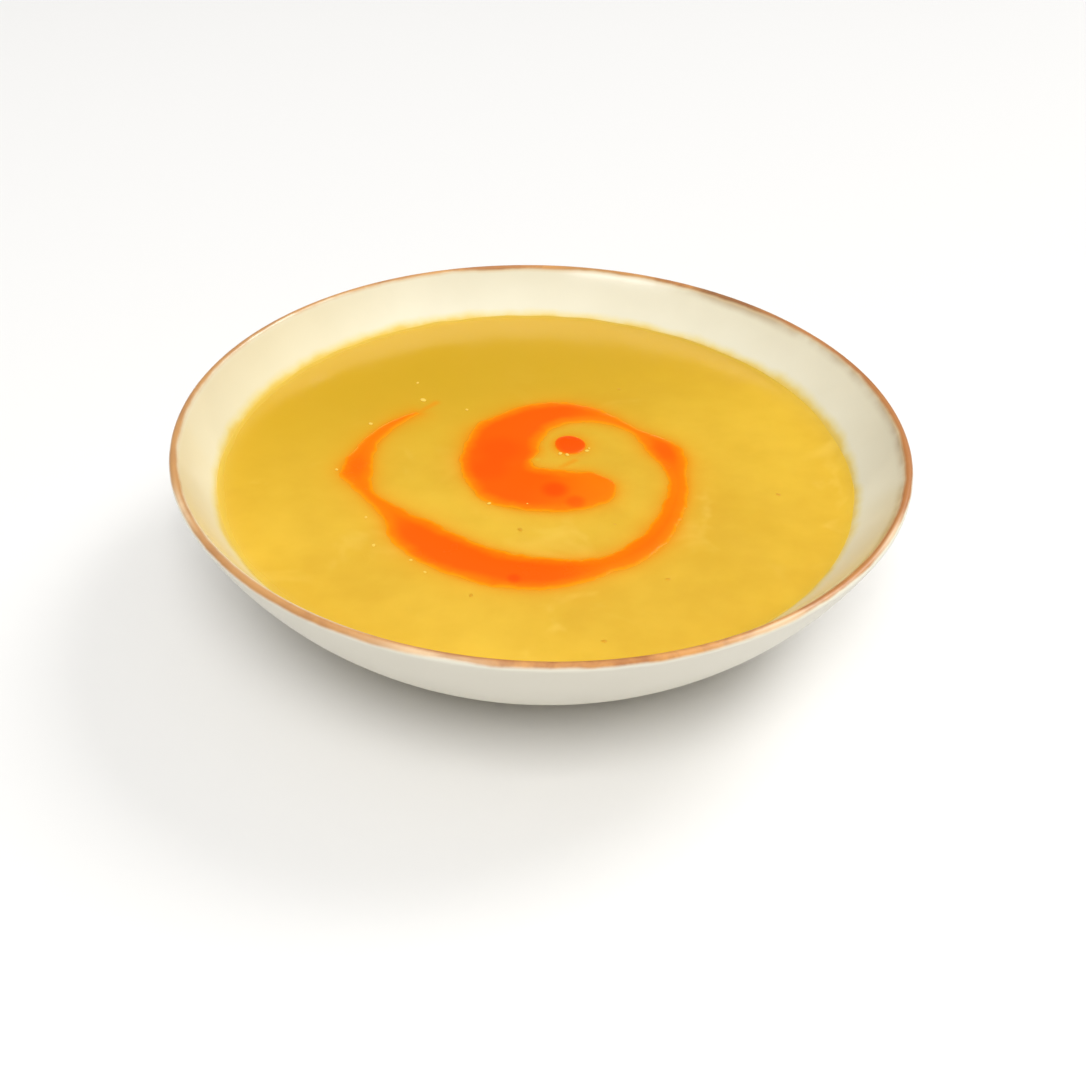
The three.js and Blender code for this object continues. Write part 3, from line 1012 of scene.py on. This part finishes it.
def oil_finish(name, edge_width, deep_at, colours, red_spots=()):
    """Oil whose colour runs from its edge inwards. Widths are in millimetres."""
    material, tree, shader = new_finish(name, IOR=1.46, Specular_IOR_Level=0.1)
    edge_colour, thin_colour, narrow_colour, deep_colour = colours
    from_edge = calc(tree, "DIVIDE", number_on(tree, "from_edge"), MM)
    clouds = use_group(tree, CLOUDING, Broad=32.0, Fine=160.0, Contrast=0.3)
    inward = plus(tree, from_edge, fade(tree, clouds, 0, 1, -0.8, 0.8))
    wide = fade(tree, number_on(tree, "half"), NARROW_HALF, WIDE_HALF)
    deep_colour = mix_colour(tree, wide, narrow_colour, deep_colour)
    colour = mix_colour(tree, fade(tree, inward, 0.2, deep_at), thin_colour, deep_colour)
    ending = fade(tree, number_on(tree, "angle"), *THIN_END, 0.0, 0.8)
    colour = mix_colour(tree, ending, colour, thin_colour)
    colour = mix_colour(tree, fade(tree, from_edge, 0.0, edge_width), edge_colour, colour)
    place = object_place(tree)
    for x, y, reach, strength in red_spots:
        spot = Vector((x, y, soup_level)) * MM
        offset = add(tree, "ShaderNodeVectorMath", {0: place, 1: spot}, operation="DISTANCE")
        near = fade(tree, offset.outputs["Value"], reach * 0.3 * MM, reach * MM, strength, 0.0)
        colour = mix_colour(tree, near, colour, OIL_RED)
    feed(tree, shader.inputs["Base Color"], colour)
    feed(tree, shader.inputs["Roughness"], fade(tree, clouds, 0, 1, 0.2, 0.3))
    normal = skin_normal(tree, 0.03 * MM, Wide=150.0, Close=600.0, Share=0.15)
    feed(tree, shader.inputs["Normal"], normal)
    return material


RIBBON_COLOURS = (OIL_EDGE, OIL_THIN, OIL_NARROW, OIL_DEEP)
DROP_COLOURS = (OIL_THIN, OIL_DEEP, DROP_RED, DROP_RED)
ribbon_finish = oil_finish("spiced_oil", 1.4, 4.2, RIBBON_COLOURS, RED_SPOTS)
drop_finish = oil_finish("deep_oil", 0.5, 1.6, DROP_COLOURS)
print("two oils mixed")

# %% [markdown]
# ## Pour the ribbon
#
# The line of points goes through the tree once. The result is copied into a plain mesh, and the
# line and its modifier are thrown away, so what is left is an ordinary piece.

# %% Run the tree


def grown(name, base, tree, identifiers, values):
    """Runs a geometry tree on a base mesh and returns the result as a plain piece."""
    helper = bpy.data.objects.new(name + "_base", base)
    scene.collection.objects.link(helper)
    modifier = helper.modifiers.new("grow", "NODES")
    modifier.node_group = tree
    for label, value in values.items():
        modifier[identifiers[label]] = value
    graph = bpy.context.evaluated_depsgraph_get()
    mesh = bpy.data.meshes.new_from_object(helper.evaluated_get(graph), depsgraph=graph)
    mesh.name = name
    helper.modifiers.remove(modifier)
    bpy.data.objects.remove(helper)
    piece = bpy.data.objects.new(name, mesh)
    scene.collection.objects.link(piece)
    return piece


def station_line():
    """A straight line of points, each carrying the numbers of its station."""
    count = len(path)
    links = [(i, i + 1) for i in range(count - 1)]
    return new_mesh("stations", [(i, 0, 0) for i in range(count)], links, [], {
        "angle": np.radians(path[:, 0]),
        "middle": (path[:, 1] + path[:, 2]) / 2 * MM,
        "half": (path[:, 2] - path[:, 1]) / 2 * MM,
    })


def make_ribbon():
    ribbon = grown("oil_spiral", station_line(), RIBBON_TREE, ribbon_inputs, {
        "Corners": RIBBON_CORNERS, "Crown": RIBBON_CROWN * MM, "Depth": RIBBON_DEPTH * MM,
        "Level": soup_level * MM, "Full Half Width": FULL_HALF_WIDTH * MM,
        "Drop X": DROP_CENTRE[0] * MM, "Drop Y": DROP_CENTRE[1] * MM,
        "Unevenness": EDGE_UNEVENNESS * MM, "Fineness": EDGE_FINENESS, "Seed": EDGE_SEED,
        "Material": ribbon_finish,
    })
    outward_normals(ribbon)
    return ribbon


ribbon = make_ribbon()
print("ribbon:", len(ribbon.data.polygons), "faces", "materials", len(ribbon.data.materials))

# %% [markdown]
# ## The drop
#
# The drop is a bead that stands a little proud of the soup. It is turned like the bowl, and then
# its outline is pulled out of round, because no drop falls straight.

# %% Make the drop
DROP_CROWN, DROP_DEPTH = 0.6, 1.0
DROP_PULL = [(0.045, 2, 4.2), (0.02, 3, 1.0)]


def make_drop():
    steps = 96
    upper = arc((0, 0), 1.0, 0, 88, 0.06)
    lower = arc((0, 0), 1.0, -88, -4, 0.12)
    section = np.vstack((lower, upper))
    section[:, 1] *= np.where(section[:, 1] > 0, DROP_CROWN, DROP_DEPTH)
    turn = np.arange(steps) * 2 * math.pi / steps
    out = section[:, :1] * DROP_RADIUS * (1 + ripple(turn, DROP_PULL))
    tall = np.repeat(section[:, 1:], steps, axis=1)
    rings = np.stack((out * np.cos(turn), out * np.sin(turn), tall), axis=-1).reshape(-1, 3)
    vertices = np.vstack((rings, [[0, 0, -DROP_DEPTH], [0, 0, DROP_CROWN]]))
    vertices += (*DROP_CENTRE, soup_level)
    from_edge = np.append(np.repeat((1 - section[:, 0]) * DROP_RADIUS, steps), [DROP_RADIUS] * 2) * MM
    drop = mesh_object("oil_bead", vertices, turned_faces(len(section), steps), {"from_edge": from_edge})
    outward_normals(drop)
    drop.data.materials.append(drop_finish)
    return drop


drop = make_drop()
print("drop:", len(drop.data.polygons), "faces")

# %% [markdown]
# ## Bubbles and specks
#
# A few small bubbles sit on the soup and round the drop, and a few flecks of spice lie in it.
# They repeat one small shape, so a tree places them: points carry a size, and a low dome is
# instanced on each, turned at random with a fixed seed.

# %% Scatter the bubbles and the specks
# Each has an x, a y and a radius, in millimetres.
BUBBLES = [
    (-36.6, 30.3, 0.75), (-39.3, 40.5, 0.4), (-23.0, 25.5, 0.4), (-50.6, 15.9, 0.5),
    (-56.8, -8.5, 0.4), (-45.7, -30.3, 0.35), (-42.1, -42.2, 0.45), (-32.0, -47.8, 0.35),
    (-28.0, -52.4, 0.35), (-13.7, -22.3, 0.45), (-3.4, -21.9, 0.4), (5.2, 3.2, 0.52),
    (7.2, 2.7, 0.52), (12.9, 5.1, 0.52), (13.5, 6.4, 0.35),
]
SPECKS = [
    (-16.0, -60.7, 0.45), (-5.0, -33.4, 0.5), (32.5, -52.1, 0.5), (19.9, -29.9, 0.35),
    (23.1, 40.8, 0.35), (65.2, -13.7, 0.5), (16.1, -75.7, 0.45),
]
BUBBLE_LIFT = 0.1
BUBBLE_COLOURS = paint(234, 192, 72), paint(241, 206, 96)
FLECK_COLOURS = paint(216, 162, 30), paint(204, 144, 22)


def scatter_tree():
    tree, ins, out, names = geometry_group("small_domes", {
        "Flatness": ("NodeSocketFloat", 0.5), "Stretch": ("NodeSocketFloat", 1.0),
        "Seed": ("NodeSocketInt", 0), "Material": ("NodeSocketMaterial", None),
    })
    ball = add(tree, "GeometryNodeMeshIcoSphere", {"Radius": 1.0, "Subdivisions": 3}).outputs["Mesh"]
    shape = add(tree, "ShaderNodeCombineXYZ", {0: ins["Stretch"], 1: 1.0, 2: ins["Flatness"]}).outputs[0]
    dome = add(tree, "GeometryNodeTransform", {"Geometry": ball, "Scale": shape}).outputs["Geometry"]
    turn = add(tree, "FunctionNodeRandomValue", {"Seed": ins["Seed"]}, data_type="FLOAT")
    turn.inputs[2].default_value = 0.0
    turn.inputs[3].default_value = 2 * math.pi
    upright = add(tree, "ShaderNodeCombineXYZ", {2: turn.outputs[1]}).outputs[0]
    facing = add(tree, "FunctionNodeEulerToRotation", {"Euler": upright}).outputs["Rotation"]
    placed = {"Points": ins["Geometry"], "Instance": dome, "Rotation": facing}
    placed["Scale"] = stored(tree, "size")
    domes = add(tree, "GeometryNodeInstanceOnPoints", placed).outputs["Instances"]
    finish_tree(tree, domes, ins["Material"], out)
    return tree, names


def point_cloud(name, spots, lift):
    """Loose points on the soup, each with a size in metres."""
    places = [(x, y, soup_level + lift) for x, y, _ in spots]
    return new_mesh(name, places, [], [], {"size": [size * MM for _, _, size in spots]})


def small_finish(name, colours, broad, fine, **values):
    """The finish of a small thing: two colours in clouds that suit its size."""
    material, tree, shader = new_finish(name, **values)
    clouds = use_group(tree, CLOUDING, Broad=broad, Fine=fine, Contrast=0.3)
    feed(tree, shader.inputs["Base Color"], mix_colour(tree, clouds, *colours))
    return material


bubble = {"IOR": 1.33, "Roughness": 0.35, "Specular_IOR_Level": 0.3}
bubble_finish = small_finish("soup_bubble", BUBBLE_COLOURS, 200.0, 900.0, **bubble)
fleck_finish = small_finish("spice_fleck", FLECK_COLOURS, 300.0, 1500.0, IOR=1.4, Roughness=0.45)
SCATTER_TREE, scatter_inputs = scatter_tree()
bubble_points = point_cloud("bubble_points", BUBBLES, BUBBLE_LIFT)
bubbles = grown("bubbles", bubble_points, SCATTER_TREE, scatter_inputs, {
    "Flatness": 0.35, "Stretch": 1.35, "Seed": 3, "Material": bubble_finish,
})
speck_points = point_cloud("speck_points", SPECKS, 0.0)
specks = grown("spice_flecks", speck_points, SCATTER_TREE, scatter_inputs, {
    "Flatness": 0.25, "Stretch": 1.5, "Seed": 8, "Material": fleck_finish,
})
print(len(BUBBLES), "bubbles and", len(SPECKS), "specks")

# %% [markdown]
# ## The floor
#
# A plain pale floor catches the soft shadow of the bowl. It is far larger than the view, and it
# lies a twentieth of a millimetre below the foot, so that the two surfaces don't meet.

# %% Lay the floor
FLOOR_HALF, FLOOR_DROP = 3000.0, 0.05


def make_floor():
    signs = [(-1, -1), (1, -1), (1, 1), (-1, 1)]
    corners = [(x * FLOOR_HALF, y * FLOOR_HALF, -FLOOR_DROP) for x, y in signs]
    floor = mesh_object("studio_floor", corners, [(0, 1, 2, 3)], {})
    material, _, shader = new_finish("pale_floor", Roughness=0.6)
    shader.inputs["Base Color"].default_value = paint(240, 239, 237)
    floor.data.materials.append(material)
    return floor


floor = make_floor()
print("floor laid")

# %% [markdown]
# ## Tie every piece to the measured model
#
# Every piece moves with the root body, and the measured node that each main piece stands for is
# hidden.

# %% Tie the pieces to their body
STANDS_FOR = {
    bowl: ("bowl", "stoneware"),
    soup: ("soup", "soup"),
    ribbon: ("oil_ribbon", "ribbon_oil"),
    drop: ("oil_drop", "drop_oil"),
}
for piece, (node, slot) in STANDS_FOR.items():
    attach(piece, "root")
    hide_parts(node)
for piece in (bubbles, specks):
    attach(piece, "root")
